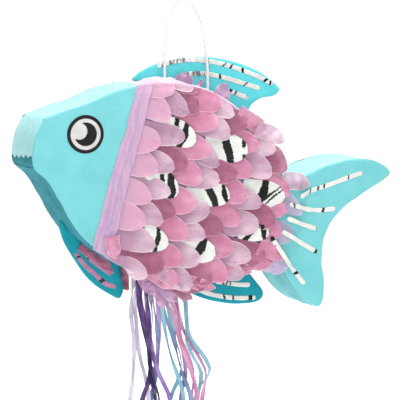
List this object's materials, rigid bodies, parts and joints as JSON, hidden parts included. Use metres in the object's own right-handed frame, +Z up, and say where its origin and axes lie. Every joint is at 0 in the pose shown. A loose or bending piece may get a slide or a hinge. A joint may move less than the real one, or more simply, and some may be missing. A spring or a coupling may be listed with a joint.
{
  "type": "pinata",
  "caption": "Fish-shaped pull-string pinata: hollow card box with tissue scales, card fins, a hanging loop and a belly trap door opened by ribbons",
  "frame": {"origin": "The top of the hanging loop's cord, where a hook holds it. The fish hangs below.", "axes": "+X from nose to tail, +Y away from the side seen first, towards the side that the trap door is hinged on, +Z up as it hangs, with the nose tilted up"},
  "size_m": [0.4195, 0.0846, 0.6578],
  "materials": {
    "bare_card": "bare brown card",
    "dark_teal_tissue": "matt darker teal tissue paper over card",
    "eye_print": "white paper with a printed black eye",
    "lavender_tissue": "matt lavender tissue paper in long folds",
    "mauve_tissue": "matt dusty mauve tissue paper",
    "pale_pink_tissue": "matt pale pink tissue paper, slightly see-through",
    "pale_teal_tissue": "matt pale teal tissue paper glued over card",
    "paper_tape": "white paper tape",
    "pink_tissue": "matt pink tissue paper",
    "ribbon_blue_satin": "satin ribbon",
    "ribbon_cyan_satin": "satin ribbon",
    "ribbon_lavender_satin": "satin ribbon",
    "ribbon_lilac_satin": "satin ribbon",
    "ribbon_pink_satin": "satin ribbon",
    "ribbon_purple_satin": "satin ribbon",
    "ribbon_white_satin": "satin ribbon",
    "teal_tissue": "matt teal tissue paper glued over card",
    "white_cord": "white twisted cord"
  },
  "bodies": {
    "fish": {"anal_fin": "dark_teal_tissue", "back_panel": "teal_tissue", "back_strip": "pale_teal_tissue", "door_frame": "mauve_tissue", "dorsal_fin": "teal_tissue", "eye_back": "eye_print", "eye_front": "eye_print", "front_panel": "teal_tissue", "gill_band_back": "lavender_tissue", "gill_band_front": "lavender_tissue", "hanging_loop": "white_cord", "hinge_tape_frame_half": "paper_tape", "jaw_strip": "dark_teal_tissue", "loop_anchor_card": "bare_card", "loop_knot_front": "white_cord", "loop_knot_rear": "white_cord", "nose_strip": "pale_teal_tissue", "pelvic_fin": "dark_teal_tissue", "rear_belly_strip": "pink_tissue", "scale_row_1_back": "pink_tissue", "scale_row_1_front": "pink_tissue", "scale_row_2_back": "mauve_tissue", "scale_row_2_front": "mauve_tissue", "scale_row_3_back": "pale_pink_tissue", "scale_row_3_front": "pale_pink_tissue", "scale_row_4_back": "pink_tissue", "scale_row_4_front": "pink_tissue", "scale_row_5_back": "mauve_tissue", "scale_row_5_front": "mauve_tissue", "scale_row_6_back": "pale_pink_tissue", "scale_row_6_front": "pale_pink_tissue", "scale_row_7_back": "pink_tissue", "scale_row_7_front": "pink_tissue", "scale_row_8_back": "mauve_tissue", "scale_row_8_front": "mauve_tissue", "tail_bottom_strip": "pale_teal_tissue", "tail_end_strip": "pale_teal_tissue", "tail_top_strip": "pale_teal_tissue"},
    "trap_door": {"trap_door": "mauve_tissue", "hinge_tape_door_half": "paper_tape", "ribbon_fold": "bare_card"},
    "ribbon_bundle": {"ribbon_card": "bare_card", "ribbon_01": "ribbon_white_satin", "ribbon_02": "ribbon_purple_satin", "ribbon_03": "ribbon_white_satin", "ribbon_04": "ribbon_purple_satin", "ribbon_05": "ribbon_lilac_satin", "ribbon_06": "ribbon_lavender_satin", "ribbon_07": "ribbon_purple_satin", "ribbon_08": "ribbon_blue_satin", "ribbon_09": "ribbon_lavender_satin", "ribbon_10": "ribbon_blue_satin", "ribbon_11": "ribbon_cyan_satin", "ribbon_12": "ribbon_pink_satin", "ribbon_13": "ribbon_cyan_satin", "ribbon_14": "ribbon_pink_satin", "ribbon_15": "ribbon_lavender_satin", "ribbon_16": "ribbon_pink_satin", "ribbon_17": "ribbon_cyan_satin", "ribbon_18": "ribbon_cyan_satin"}
  },
  "joints": [
    {"name": "trap_door_hinge", "type": "hinge", "parent": "fish", "child": "trap_door", "pos_m": [-0.033, 0.0267, -0.2975], "axis": [0.9771, 0, -0.213], "range_deg": [0, 90]},
    {"name": "ribbon_swing", "type": "hinge", "parent": "trap_door", "child": "ribbon_bundle", "pos_m": [-0.03419, -0.01, -0.30297], "axis": [0.9771, 0, -0.213], "range_deg": [-90, 0]}
  ],
  "couplings": [
    {"joint": "ribbon_swing", "follows": "trap_door_hinge", "ratio": -1}
  ]
}
